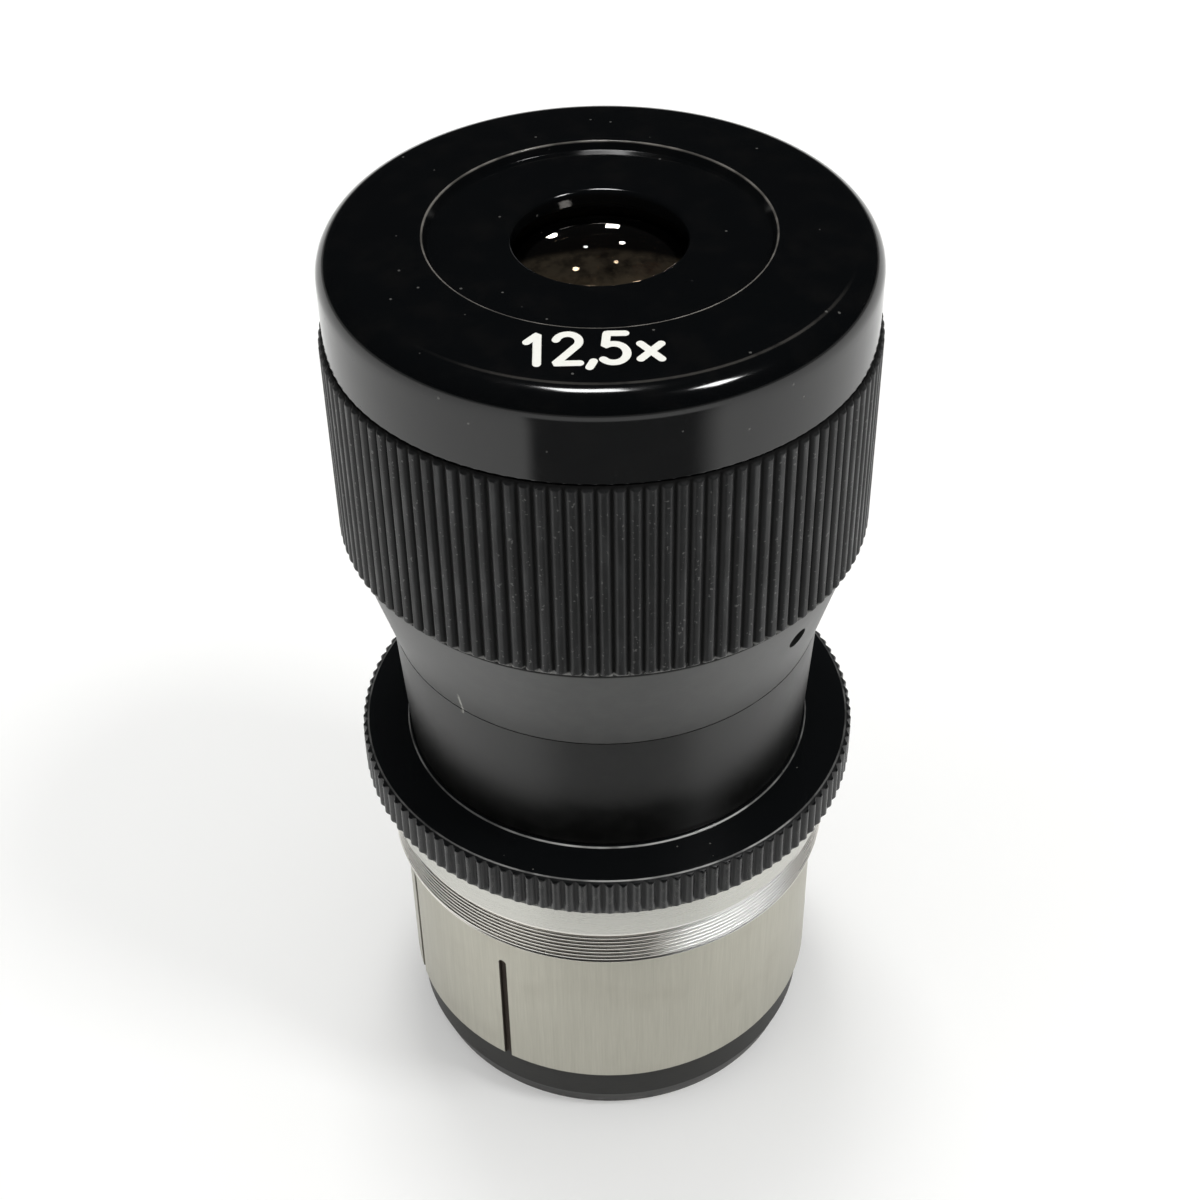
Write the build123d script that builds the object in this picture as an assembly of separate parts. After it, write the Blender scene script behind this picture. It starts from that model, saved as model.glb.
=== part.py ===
from build123d import *
import os
from math import cos, pi, radians, sin, sqrt

# Microscope eyepiece with a dioptre adjustment, in millimetres.
# +Z is the optical axis and points at the eye; z = 0 is the flat underside of the end ring.
# The lower barrel slides into a microscope tube and a captive threaded coupling locks it there.
# The upper shell turns on the neck's spigot, and a guide screw in a helical groove makes it rise.

# Heights of the outer form, from the bottom up
END_RING_HEIGHT = 5.8
END_RING_TAPER = 2.1
BARREL_LENGTH = 19.0
COLLAR_HEIGHT = 9.5
COLLAR_BAND_HEIGHT = 4.8
MILLED_RING_HEIGHT = 4.5
NECK_HEIGHT = 13.8
SKIRT_HEIGHT = 11.3
GRIP_HEIGHT = 19.9
CAP_HEIGHT = 8.05
CROWN_RISE = 0.45

# Lens carriage: the lens radius, then walls and steps from it outwards
LENS_RADIUS = 10.0
CELL_LIP_OVERLAP = 1.0
CELL_LIP = 1.0
CELL_WALL = 2.0
GUIDE_STEP = 2.4
TAIL_WALL = 1.2
TAIL_GAP = 2.6
CARRIAGE_FLANGE = 2.5
CARRIAGE_TAIL_MARGIN = 1.0
LENS_RING_HEIGHT = 1.8
LENS_RING_WALL = 1.2
SPACER_WALL = 0.9
UPPER_SPACER = 2.2
LOWER_SPACER = 4.0

# Lenses, as surface radii and thicknesses: at the rim for an edge, on the axis for a centre
EYE_LENS_CURVE = 22.0
EYE_LENS_EDGE = 1.9
DOUBLET_TOP_CURVE = 26.0
DOUBLET_JOIN_CURVE = 18.0
CROWN_EDGE = 1.6
FLINT_CENTRE = 1.6
FIELD_LENS_CURVE = 30.0
FIELD_LENS_EDGE = 2.2

# Upper shell: walls and steps outwards from the neck's spigot
SPIGOT_WALL = 1.8
SPIGOT_LENGTH = 13.7
SHELL_WALL = 2.75
SHELL_WEB = 2.0
SHELL_WEB_GAP = 1.5
GRIP_WALL = 2.4
SKIRT_STEP = 0.65
CAP_STEP = 0.4
CAP_ROUNDING = 2.3
CAP_PLATE = 1.4
CAP_HOLLOW_GAP = 1.0
CAP_SPIGOT_WALL = 1.55
CAP_SPIGOT_LENGTH = 4.5
APERTURE_OVERLAP = 1.7
EYE_LIP_ROUNDING = 0.5
DISH_WIDTH = 7.35
DISH_DEPTH = 0.7
DISH_BEVEL = 0.45
RETAINING_RING_HEIGHT = 2.4
RETAINING_RING_GAP = 2.9
THRUST_WASHER = 0.3

# Neck, barrel and coupling: walls and steps outwards from the neck's bore
SEAM_STEP = 1.35
NECK_TAIL_WALL = 1.8
NECK_TAIL_LENGTH = 8.4
NECK_FOOT_STEP = 0.5
TAIL_SEAT = 1.2
BARREL_UPPER_WALL = 1.5
BARREL_SHOULDER = 0.65
BARREL_END_WALL = 2.75
END_RING_STEP = 0.55
END_RING_FOOT_STEP = 0.7
END_RING_WALL = 2.7
END_RING_SPIGOT_LENGTH = 4.4
COLLAR_WALL = 1.5
COLLAR_BAND_STEP = 0.3
COLLAR_SPIGOT_WALL = 0.9
COLLAR_SPIGOT_LENGTH = 1.5
MILLED_RING_OVERHANG = 1.9
MILLED_RING_LIP = 1.8
EDGE_CHAMFER = 0.3

# Flutes of the grip ring and teeth of the milled ring
FLUTES = 120
FLUTE_DEPTH = 0.4
FLUTE_LAND = 0.45
TEETH = 120
TOOTH_DEPTH = 0.45
TOOTH_LAND = 0.2

# Key grooves milled in the barrel, as angles from the front, positive to the right
KEY_GROOVE_ANGLES = (-30.6, -71.5)
KEY_GROOVE_WIDTH = 0.85
KEY_GROOVE_DEPTH = 0.5
KEY_GROOVE_LENGTH = 15.2

# Dioptre movement: half a turn lifts the shell and the lenses 4 mm, ten dioptres at 0.4 mm each
DIOPTRE_LEAD = 8.0
DIOPTRE_TURN = 180.0
GUIDE_SCREW_ANGLE = 49.1
GUIDE_SCREW_HEIGHT = 7.0
GUIDE_SCREW_RADIUS = 1.0
GUIDE_SCREW_SINK = 0.8
GUIDE_SCREW_SLOT_WIDTH = 0.4
GUIDE_SCREW_SLOT_DEPTH = 0.5
GUIDE_TIP_RADIUS = 0.8
GUIDE_GROOVE_DEPTH = 1.0

# Key of the lens carriage
KEY_WIDTH = 2.4
KEY_HEIGHT = 5.0
KEY_SINK = 0.5
KEY_SCREW_RADIUS = 0.5
KEY_SCREW_HEAD_RADIUS = 0.8
KEY_SCREW_HEAD = 0.5
KEY_SCREW_SHARES = (0.25, 0.75)

# Field stop: its tube's radius stays clear of the carriage's tail, and the rest follows inwards
STOP_TUBE_GAP = 0.6
STOP_TUBE_WALL = 1.2
STOP_TUBE_TOP_GAP = 4.5
STOP_FLANGE = 2.4
STOP_LEDGE = 0.5
STOP_RING_WALL = 1.5
STOP_RING_HEIGHT = 1.1
STOP_BLADE = 1.4
STOP_THICKNESS = 0.4

# Clearances, spanner slots, and how far a cut runs past the surface that it opens
FIT = 0.03
RUNNING = 0.05
COUPLING_RUNNING = 0.1
AXIAL_GAP = 0.1
END_GAP = 0.2
SPANNER_SLOT = 1.2
SPANNER_SLOT_DEPTH = 0.6
OVERSHOOT = 1.0

# Radii that follow from the lens radius
cell_lip_radius = LENS_RADIUS - CELL_LIP_OVERLAP
cell_radius = LENS_RADIUS + CELL_WALL
guide_radius = cell_radius + GUIDE_STEP
tail_bore = guide_radius - TAIL_WALL
spigot_bore = guide_radius + TAIL_GAP
spigot_radius = spigot_bore + SPIGOT_WALL
shell_bore = spigot_radius + RUNNING
flange_radius = shell_bore - END_GAP + RUNNING
key_radius = spigot_radius - KEY_SINK
retainer_bore = cell_radius + RETAINING_RING_GAP
grip_seat_radius = shell_bore + SHELL_WALL
grip_radius = grip_seat_radius + GRIP_WALL
skirt_top_radius = grip_radius - SKIRT_STEP
cap_radius = grip_radius - CAP_STEP
cap_spigot_radius = shell_bore + CAP_SPIGOT_WALL
cap_hollow_radius = cell_radius + CAP_HOLLOW_GAP
aperture_radius = cell_lip_radius - APERTURE_OVERLAP
dish_radius = aperture_radius + DISH_WIDTH
seam_radius = spigot_radius + SEAM_STEP
neck_tail_radius = spigot_bore + NECK_TAIL_WALL
neck_foot_radius = neck_tail_radius + NECK_FOOT_STEP
barrel_bore = neck_tail_radius - TAIL_SEAT
barrel_upper_radius = neck_tail_radius + BARREL_UPPER_WALL
barrel_radius = barrel_upper_radius + BARREL_SHOULDER
end_spigot_radius = barrel_radius - BARREL_END_WALL
end_ring_radius = barrel_radius - END_RING_STEP
end_ring_foot_radius = end_ring_radius - END_RING_FOOT_STEP
end_ring_bore = end_spigot_radius - END_RING_WALL
collar_bore = barrel_upper_radius + COUPLING_RUNNING
collar_spigot_radius = collar_bore + COLLAR_SPIGOT_WALL
thread_radius = collar_bore + COLLAR_WALL
band_radius = thread_radius + COLLAR_BAND_STEP
milled_radius = band_radius + MILLED_RING_OVERHANG
stop_tube_radius = tail_bore - STOP_TUBE_GAP
stop_tube_bore = stop_tube_radius - STOP_TUBE_WALL
stop_seat_radius = stop_tube_bore + STOP_LEDGE
stop_ring_bore = stop_seat_radius - STOP_RING_WALL
stop_aperture_radius = stop_ring_bore - STOP_BLADE

# Heights that follow from the sizes above
barrel_z = END_RING_HEIGHT
shoulder_z = barrel_z + BARREL_LENGTH
collar_z = shoulder_z + AXIAL_GAP
milled_z = collar_z + COLLAR_HEIGHT
milled_top_z = milled_z + MILLED_RING_HEIGHT
neck_z = milled_top_z + AXIAL_GAP
seam_z = neck_z + NECK_HEIGHT
shell_z = seam_z + AXIAL_GAP
grip_z = shell_z + SKIRT_HEIGHT
cap_z = grip_z + GRIP_HEIGHT
rim_z = cap_z + CAP_HEIGHT
crown_z = rim_z + CROWN_RISE
dish_z = crown_z - DISH_DEPTH
plate_z = dish_z - CAP_PLATE
neck_tail_z = neck_z - NECK_TAIL_LENGTH
lip_z = milled_top_z - MILLED_RING_LIP
barrel_top_z = lip_z - AXIAL_GAP
spigot_top_z = seam_z + SPIGOT_LENGTH
web_z = spigot_top_z + SHELL_WEB_GAP
flange_z = web_z + SHELL_WEB + AXIAL_GAP
washer_z = flange_z + CARRIAGE_FLANGE + AXIAL_GAP
retainer_z = washer_z + THRUST_WASHER + FIT
cell_top_z = plate_z - END_GAP
cap_spigot_z = cap_z + CAP_SPIGOT_LENGTH
dioptre_rise = DIOPTRE_LEAD * DIOPTRE_TURN / 360
guide_z = shell_z + GUIDE_SCREW_HEIGHT
key_z = spigot_top_z - dioptre_rise - KEY_HEIGHT - END_GAP
carriage_low_z = key_z - CARRIAGE_TAIL_MARGIN


def sag(curve, radius):
    """How far a spherical surface falls from its top at a distance from the axis."""
    return curve - sqrt(curve * curve - radius * radius)


# The lens stack, from the lip of the cell downwards; the eye lens's rim lies just under the lip
lens_edge = LENS_RADIUS - FIT
spacer_bore = lens_edge - SPACER_WALL
eye_lens_top_z = cell_top_z - CELL_LIP + sag(EYE_LENS_CURVE, cell_lip_radius) - FIT
eye_lens_low_z = eye_lens_top_z - sag(EYE_LENS_CURVE, LENS_RADIUS) - EYE_LENS_EDGE
upper_spacer_z = eye_lens_low_z - UPPER_SPACER
crown_top_z = upper_spacer_z + sag(DOUBLET_TOP_CURVE, spacer_bore)
join_rim_z = crown_top_z - sag(DOUBLET_TOP_CURVE, lens_edge) - CROWN_EDGE
join_axis_z = join_rim_z - sag(DOUBLET_JOIN_CURVE, lens_edge)
flint_low_z = join_axis_z - FLINT_CENTRE
lower_spacer_z = flint_low_z - LOWER_SPACER
field_top_z = lower_spacer_z + sag(FIELD_LENS_CURVE, spacer_bore)
field_lens_low_z = field_top_z - sag(FIELD_LENS_CURVE, lens_edge) - FIELD_LENS_EDGE
lens_ring_z = field_lens_low_z - LENS_RING_HEIGHT
tail_roof_z = min(lens_ring_z, flange_z) - AXIAL_GAP
stop_top_z = tail_roof_z - STOP_TUBE_TOP_GAP
stop_seat_z = stop_top_z - STOP_RING_HEIGHT - STOP_THICKNESS - AXIAL_GAP


def front_angle(angle):
    """The angle about +Z, from +X, of a feature at an angle from the front, positive to the right."""
    return angle - 90


guide_angle = front_angle(GUIDE_SCREW_ANGLE)
# The key lies in the middle of the stretch that the guide groove leaves free
key_angle = guide_angle + DIOPTRE_TURN + (360 - DIOPTRE_TURN) / 2
key_screw_heights = [key_z + KEY_HEIGHT * share for share in KEY_SCREW_SHARES]


def section(start, *steps):
    """A closed section in the XZ plane; a step is a (radius, height) point, or two of them for an arc."""
    edges = []
    here = start
    for step in steps + (start,):
        if isinstance(step[0], tuple):
            through, end = step
            edges.append(ThreePointArc(here, through, end))
        elif step == here:
            continue
        else:
            end = step
            edges.append(Line(here, end))
        here = end
    return Plane.XZ * make_face(edges)


def turned(start, *steps):
    """A piece turned about the optical axis from a closed section."""
    return revolve(section(start, *steps), Axis.Z)


def ring(inner, outer, low, high):
    """A plain turned ring between two radii and two heights."""
    return turned((inner, low), (outer, low), (outer, high), (inner, high))


def radial_pin(radius, inner, outer, height, angle):
    """A round pin along a radius, from one distance from the axis to another."""
    start = Vector(inner * cos(radians(angle)), inner * sin(radians(angle)), height)
    outward = Vector(cos(radians(angle)), sin(radians(angle)), 0)
    return extrude(Plane(origin=start, z_dir=outward) * Circle(radius), amount=outer - inner)


def radial_block(width, inner, outer, low, high, angle):
    """A square-edged bar along a radius, between two distances from the axis and two heights."""
    block = Box(outer - inner, width, high - low, align=(Align.MIN, Align.CENTER, Align.MIN))
    return Rot(0, 0, angle) * Pos(inner, 0, low) * block


def spanner_slots(inner, outer, floor, open_end):
    """Two opposite slots for a pin spanner, from their floor out through one face of a ring."""
    low, high = min(floor, open_end), max(floor, open_end)
    reach = (inner - OVERSHOOT, outer + OVERSHOOT)
    return [radial_block(SPANNER_SLOT, *reach, low, high, angle) for angle in (0, 180)]


def fluted(radius, depth, land, count, low, high):
    """A column of V flutes round the axis, with a flat land between each two."""
    pitch = 2 * pi / count
    half_land = land / radius / 2
    points = []
    for number in range(count):
        middle = number * pitch
        for turn, reach in ((-half_land, radius), (half_land, radius), (pitch / 2, radius - depth)):
            angle = middle + turn
            points.append((reach * cos(angle), reach * sin(angle)))
    face = make_face(Polyline(*points, close=True))
    return extrude(Pos(0, 0, low) * face, amount=high - low)


def dome(curve, top, radius):
    """The arc of a lens surface that rises to the axis: the point half way out, then the rim point."""
    return ((radius / 2, top - sag(curve, radius / 2)), (radius, top - sag(curve, radius)))


def make_end_ring():
    """Black ring screwed into the bottom of the barrel; the eyepiece stands on it."""
    spigot = end_spigot_radius - FIT
    spigot_end_z = barrel_z + END_RING_SPIGOT_LENGTH - AXIAL_GAP
    return turned(
        (end_ring_bore, 0),
        (end_ring_foot_radius, 0),
        (end_ring_radius, END_RING_TAPER),
        (end_ring_radius, barrel_z),
        (spigot, barrel_z),
        (spigot, spigot_end_z),
        (end_ring_bore, spigot_end_z),
    )


def make_barrel_tube():
    """Steel tube with two narrow key grooves, a shoulder under the coupling and a counterbored top."""
    seat_z = barrel_z + END_RING_SPIGOT_LENGTH
    counterbore = neck_tail_radius + FIT
    counterbore_z = neck_tail_z - AXIAL_GAP
    tube = turned(
        (end_spigot_radius, barrel_z),
        (barrel_radius - EDGE_CHAMFER, barrel_z),
        (barrel_radius, barrel_z + EDGE_CHAMFER),
        (barrel_radius, shoulder_z),
        (barrel_upper_radius, shoulder_z),
        (barrel_upper_radius, barrel_top_z),
        (counterbore, barrel_top_z),
        (counterbore, counterbore_z),
        (barrel_bore, counterbore_z),
        (barrel_bore, seat_z),
        (end_spigot_radius, seat_z),
    )
    floor = barrel_radius - KEY_GROOVE_DEPTH
    outside = barrel_radius + OVERSHOOT
    low = barrel_z - OVERSHOOT
    top = barrel_z + KEY_GROOVE_LENGTH - KEY_GROOVE_WIDTH / 2
    for angle in KEY_GROOVE_ANGLES:
        turn = front_angle(angle)
        tube -= radial_block(KEY_GROOVE_WIDTH, floor, outside, low, top, turn)
        tube -= radial_pin(KEY_GROOVE_WIDTH / 2, floor, outside, top, turn)
    return tube


def make_threaded_collar():
    """Bright collar of the coupling: a plain band over a fine thread, and a spigot for the milled ring."""
    band_z = milled_z - COLLAR_BAND_HEIGHT
    spigot_z = milled_z + COLLAR_SPIGOT_LENGTH
    return turned(
        (collar_bore, collar_z),
        (thread_radius - EDGE_CHAMFER, collar_z),
        (thread_radius, collar_z + EDGE_CHAMFER),
        (thread_radius, band_z),
        (band_radius, band_z),
        (band_radius, milled_z),
        (collar_spigot_radius, milled_z),
        (collar_spigot_radius, spigot_z),
        (collar_bore, spigot_z),
    )


def make_coupling_ring():
    """Black ring with a milled edge; its lip is captive between the barrel's top and the neck's foot."""
    joint = collar_spigot_radius + FIT
    joint_z = milled_z + COLLAR_SPIGOT_LENGTH + AXIAL_GAP
    lip = neck_tail_radius + COUPLING_RUNNING
    rough = turned(
        (joint, milled_z),
        (milled_radius - TOOTH_DEPTH, milled_z),
        (milled_radius, milled_z + TOOTH_DEPTH),
        (milled_radius, milled_top_z - TOOTH_DEPTH),
        (milled_radius - TOOTH_DEPTH, milled_top_z),
        (lip, milled_top_z),
        (lip, lip_z),
        (collar_bore, lip_z),
        (collar_bore, joint_z),
        (joint, joint_z),
    )
    return rough & fluted(milled_radius, TOOTH_DEPTH, TOOTH_LAND, TEETH, milled_z, milled_top_z)


def make_neck_sleeve():
    """Black neck: a tail in the barrel, the tapered neck, and a spigot with the helical guide groove."""
    neck = turned(
        (spigot_bore, neck_tail_z),
        (neck_tail_radius, neck_tail_z),
        (neck_tail_radius, neck_z),
        (neck_foot_radius, neck_z),
        (seam_radius, seam_z),
        (spigot_radius, seam_z),
        (spigot_radius, spigot_top_z),
        (spigot_bore, spigot_top_z),
    )
    return neck - guide_groove() - key_slot()


def guide_groove():
    """The helical groove that the guide screw's tip runs in, with a round end at each stop."""
    half_width = GUIDE_TIP_RADIUS + RUNNING
    floor = spigot_radius - GUIDE_GROOVE_DEPTH
    outside = spigot_radius + OVERSHOOT
    path = Helix(DIOPTRE_LEAD, dioptre_rise, spigot_radius)
    across = Plane(origin=path @ 0, x_dir=(1, 0, 0), z_dir=path % 0)
    profile = across * Rectangle(2 * GUIDE_GROOVE_DEPTH, 2 * half_width)
    groove = Pos(0, 0, guide_z) * Rot(0, 0, guide_angle) * sweep(profile, path=path, is_frenet=True)
    first = radial_pin(half_width, floor, outside, guide_z, guide_angle)
    last = radial_pin(half_width, floor, outside, guide_z + dioptre_rise, guide_angle + DIOPTRE_TURN)
    return [groove, first, last]


def key_slot():
    """Slot through the spigot's wall, open at the top, that stops the lens carriage from turning."""
    width = KEY_WIDTH + 2 * RUNNING
    inside, outside = spigot_bore - OVERSHOOT, spigot_radius + OVERSHOOT
    return radial_block(width, inside, outside, key_z - END_GAP, spigot_top_z + OVERSHOOT, key_angle)


def make_skirt_sleeve():
    """Upper shell: the tapered skirt, the seat of the grip ring, an inner web and a spigot for the cap."""
    web_bore = guide_radius + RUNNING
    seat_top_z = cap_z - AXIAL_GAP
    sleeve = turned(
        (shell_bore, shell_z),
        (seam_radius, shell_z),
        (skirt_top_radius, grip_z),
        (grip_seat_radius, grip_z),
        (grip_seat_radius, seat_top_z),
        (cap_spigot_radius, seat_top_z),
        (cap_spigot_radius, cap_spigot_z),
        (shell_bore, cap_spigot_z),
        (shell_bore, web_z + SHELL_WEB),
        (web_bore, web_z + SHELL_WEB),
        (web_bore, web_z),
        (shell_bore, web_z),
    )
    hole_radius = GUIDE_SCREW_RADIUS + FIT
    return sleeve - radial_pin(hole_radius, shell_bore - OVERSHOOT, grip_radius, guide_z, guide_angle)


def make_guide_screw():
    """Slotted grub screw, sunk in the skirt, whose plain tip runs in the helical groove."""
    skirt_radius = seam_radius + (skirt_top_radius - seam_radius) * GUIDE_SCREW_HEIGHT / SKIRT_HEIGHT
    outer = skirt_radius - GUIDE_SCREW_SINK
    tip = spigot_radius - GUIDE_GROOVE_DEPTH + END_GAP
    body = radial_pin(GUIDE_SCREW_RADIUS, shell_bore + AXIAL_GAP, outer, guide_z, guide_angle)
    point = radial_pin(GUIDE_TIP_RADIUS, tip, outer, guide_z, guide_angle)
    cut = Box(2 * GUIDE_SCREW_SLOT_DEPTH, 2 * GUIDE_SCREW_RADIUS, GUIDE_SCREW_SLOT_WIDTH)
    return body + point - Rot(0, 0, guide_angle) * Pos(outer, 0, guide_z) * cut


def make_grip_ring():
    """Fluted grip, clamped between the skirt's shoulder and the cap."""
    seat = grip_seat_radius + FIT
    rough = turned(
        (seat, grip_z),
        (grip_radius - FLUTE_DEPTH, grip_z),
        (grip_radius, grip_z + FLUTE_DEPTH),
        (grip_radius, cap_z - FLUTE_DEPTH),
        (grip_radius - FLUTE_DEPTH, cap_z),
        (seat, cap_z),
    )
    return rough & fluted(grip_radius, FLUTE_DEPTH, FLUTE_LAND, FLUTES, grip_z, cap_z)


def make_eye_cap():
    """Glossy cap: a rounded rim, a low crown, a shallow dish and a round-lipped eye aperture."""
    half_turn = cos(pi / 4)
    centre = (cap_radius - CAP_ROUNDING, rim_z - CAP_ROUNDING)
    rim_through = (centre[0] + CAP_ROUNDING * half_turn, centre[1] + CAP_ROUNDING * half_turn)
    lip_shift = EYE_LIP_ROUNDING * (1 - half_turn)
    lip_through = (aperture_radius + lip_shift, dish_z - lip_shift)
    joint = cap_spigot_radius + FIT
    roof_z = cap_spigot_z + AXIAL_GAP
    return turned(
        (joint, cap_z),
        (cap_radius - EDGE_CHAMFER, cap_z),
        (cap_radius, cap_z + EDGE_CHAMFER),
        (cap_radius, centre[1]),
        (rim_through, (centre[0], rim_z)),
        (dish_radius, crown_z),
        (dish_radius - DISH_BEVEL, dish_z),
        (aperture_radius + EYE_LIP_ROUNDING, dish_z),
        (lip_through, (aperture_radius, dish_z - EYE_LIP_ROUNDING)),
        (aperture_radius, plate_z),
        (cap_hollow_radius, plate_z),
        (cap_hollow_radius, roof_z),
        (joint, roof_z),
    )


def make_thrust_washer():
    """Thin washer that takes up the play of the carriage's flange."""
    return ring(retainer_bore, flange_radius, washer_z, washer_z + THRUST_WASHER)


def make_carriage_retaining_ring():
    """Slotted ring screwed into the shell over the carriage's flange."""
    high = retainer_z + RETAINING_RING_HEIGHT
    blank = ring(retainer_bore, shell_bore - FIT, retainer_z, high)
    return blank - spanner_slots(retainer_bore, shell_bore, high - SPANNER_SLOT_DEPTH, high + OVERSHOOT)


def make_lens_cell():
    """Lens carriage: the lens tube, the flange that the shell carries, and a keyed guide tail."""
    flange_top_z = flange_z + CARRIAGE_FLANGE
    lip_low_z = cell_top_z - CELL_LIP
    cell = turned(
        (tail_bore, carriage_low_z),
        (guide_radius, carriage_low_z),
        (guide_radius, flange_z),
        (flange_radius, flange_z),
        (flange_radius, flange_top_z),
        (cell_radius, flange_top_z),
        (cell_radius, cell_top_z),
        (cell_lip_radius, cell_top_z),
        (cell_lip_radius, lip_low_z),
        (LENS_RADIUS, lip_low_z),
        (LENS_RADIUS, tail_roof_z),
        (tail_bore, tail_roof_z),
    )
    inside, outside = tail_bore - OVERSHOOT, guide_radius + OVERSHOOT
    for height in key_screw_heights:
        cell -= radial_pin(KEY_SCREW_RADIUS + FIT, inside, outside, height, key_angle)
    return cell


def make_carriage_key():
    """Key on the carriage's tail; it slides in the spigot's slot and keeps the lenses from turning."""
    inside, outside = guide_radius - OVERSHOOT, key_radius + OVERSHOOT
    key = radial_block(KEY_WIDTH, inside, key_radius, key_z, key_z + KEY_HEIGHT, key_angle)
    key -= Pos(0, 0, key_z + KEY_HEIGHT / 2) * Cylinder(guide_radius, KEY_HEIGHT + 2 * OVERSHOOT)
    for height in key_screw_heights:
        key -= radial_pin(KEY_SCREW_RADIUS + FIT, inside, outside, height, key_angle)
        head_seat = key_radius - KEY_SCREW_HEAD - FIT
        key -= radial_pin(KEY_SCREW_HEAD_RADIUS + FIT, head_seat, outside, height, key_angle)
    return key


def make_key_screws():
    """The two small screws of the key."""
    screws = []
    for height in key_screw_heights:
        head_seat = key_radius - KEY_SCREW_HEAD
        head = radial_pin(KEY_SCREW_HEAD_RADIUS, head_seat, key_radius, height, key_angle)
        shank = radial_pin(KEY_SCREW_RADIUS, tail_bore + RUNNING, key_radius, height, key_angle)
        screws.append(head + shank)
    return Compound(children=screws)


def make_eye_lens():
    """Eye lens, domed towards the eye and flat below."""
    rim = dome(EYE_LENS_CURVE, eye_lens_top_z, lens_edge)
    return turned((0, eye_lens_low_z), (0, eye_lens_top_z), rim, (lens_edge, eye_lens_low_z))


def make_upper_spacer():
    """Ring between the eye lens and the doublet."""
    return ring(spacer_bore, lens_edge, upper_spacer_z, eye_lens_low_z)


def cemented_face():
    """The point half way out on the face where the doublet's two glasses meet."""
    return (lens_edge / 2, join_axis_z + sag(DOUBLET_JOIN_CURVE, lens_edge / 2))


def make_doublet_crown():
    """Upper glass of the cemented doublet, domed on both sides."""
    rim = dome(DOUBLET_TOP_CURVE, crown_top_z, lens_edge)
    low = (0, join_axis_z)
    return turned(low, (0, crown_top_z), rim, (lens_edge, join_rim_z), (cemented_face(), low))


def make_doublet_flint():
    """Lower glass of the doublet, hollow above where the upper glass is cemented in, and flat below."""
    hollow = (cemented_face(), (lens_edge, join_rim_z))
    return turned((0, flint_low_z), (0, join_axis_z), hollow, (lens_edge, flint_low_z))


def make_lower_spacer():
    """Ring between the doublet and the field lens."""
    return ring(spacer_bore, lens_edge, lower_spacer_z, flint_low_z)


def make_field_lens():
    """Field lens, domed towards the doublet and flat below."""
    rim = dome(FIELD_LENS_CURVE, field_top_z, lens_edge)
    return turned((0, field_lens_low_z), (0, field_top_z), rim, (lens_edge, field_lens_low_z))


def make_lens_retaining_ring():
    """Slotted ring screwed in below the field lens; it holds the whole stack against the cell's lip."""
    bore = LENS_RADIUS - LENS_RING_WALL
    blank = ring(bore, lens_edge, lens_ring_z, field_lens_low_z)
    floor = lens_ring_z + SPANNER_SLOT_DEPTH
    return blank - spanner_slots(bore, LENS_RADIUS, floor, lens_ring_z - OVERSHOOT)


def make_field_stop_tube():
    """Tube screwed into the neck's bore; it carries the field stop inside the carriage's tail."""
    flange_edge = spigot_bore - FIT
    flange_top_z = neck_tail_z + STOP_FLANGE
    return turned(
        (stop_tube_bore, neck_tail_z),
        (flange_edge, neck_tail_z),
        (flange_edge, flange_top_z),
        (stop_tube_radius, flange_top_z),
        (stop_tube_radius, stop_top_z),
        (stop_seat_radius, stop_top_z),
        (stop_seat_radius, stop_seat_z),
        (stop_tube_bore, stop_seat_z),
    )


def make_field_stop():
    """Thin black disc whose sharp hole bounds the field of view."""
    edge = stop_seat_radius - FIT
    return ring(stop_aperture_radius, edge, stop_seat_z, stop_seat_z + STOP_THICKNESS)


def make_field_stop_ring():
    """Slotted ring that holds the field stop in its tube."""
    low = stop_seat_z + STOP_THICKNESS
    high = low + STOP_RING_HEIGHT
    blank = ring(stop_ring_bore, stop_seat_radius - FIT, low, high)
    floor = high - SPANNER_SLOT_DEPTH
    return blank - spanner_slots(stop_ring_bore, stop_seat_radius, floor, high + OVERSHOOT)


PIECES = {
    "end_ring": make_end_ring,
    "barrel_tube": make_barrel_tube,
    "threaded_collar": make_threaded_collar,
    "coupling_ring": make_coupling_ring,
    "neck_sleeve": make_neck_sleeve,
    "field_stop_tube": make_field_stop_tube,
    "field_stop": make_field_stop,
    "field_stop_ring": make_field_stop_ring,
    "skirt_sleeve": make_skirt_sleeve,
    "guide_screw": make_guide_screw,
    "grip_ring": make_grip_ring,
    "eye_cap": make_eye_cap,
    "thrust_washer": make_thrust_washer,
    "carriage_retaining_ring": make_carriage_retaining_ring,
    "lens_cell": make_lens_cell,
    "carriage_key": make_carriage_key,
    "key_screws": make_key_screws,
    "eye_lens": make_eye_lens,
    "upper_spacer": make_upper_spacer,
    "doublet_crown": make_doublet_crown,
    "doublet_flint": make_doublet_flint,
    "lower_spacer": make_lower_spacer,
    "field_lens": make_field_lens,
    "lens_retaining_ring": make_lens_retaining_ring,
}

os.makedirs("parts", exist_ok=True)
for name, make in PIECES.items():
    export_step(make(), f"parts/{name}.step")
print("height", round(crown_z, 2), "rise", dioptre_rise)
print("grip radius", round(grip_radius, 3), "barrel radius", round(barrel_radius, 3))
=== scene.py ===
import math

import bpy
import numpy as np
from mathutils import Matrix, Vector


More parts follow.
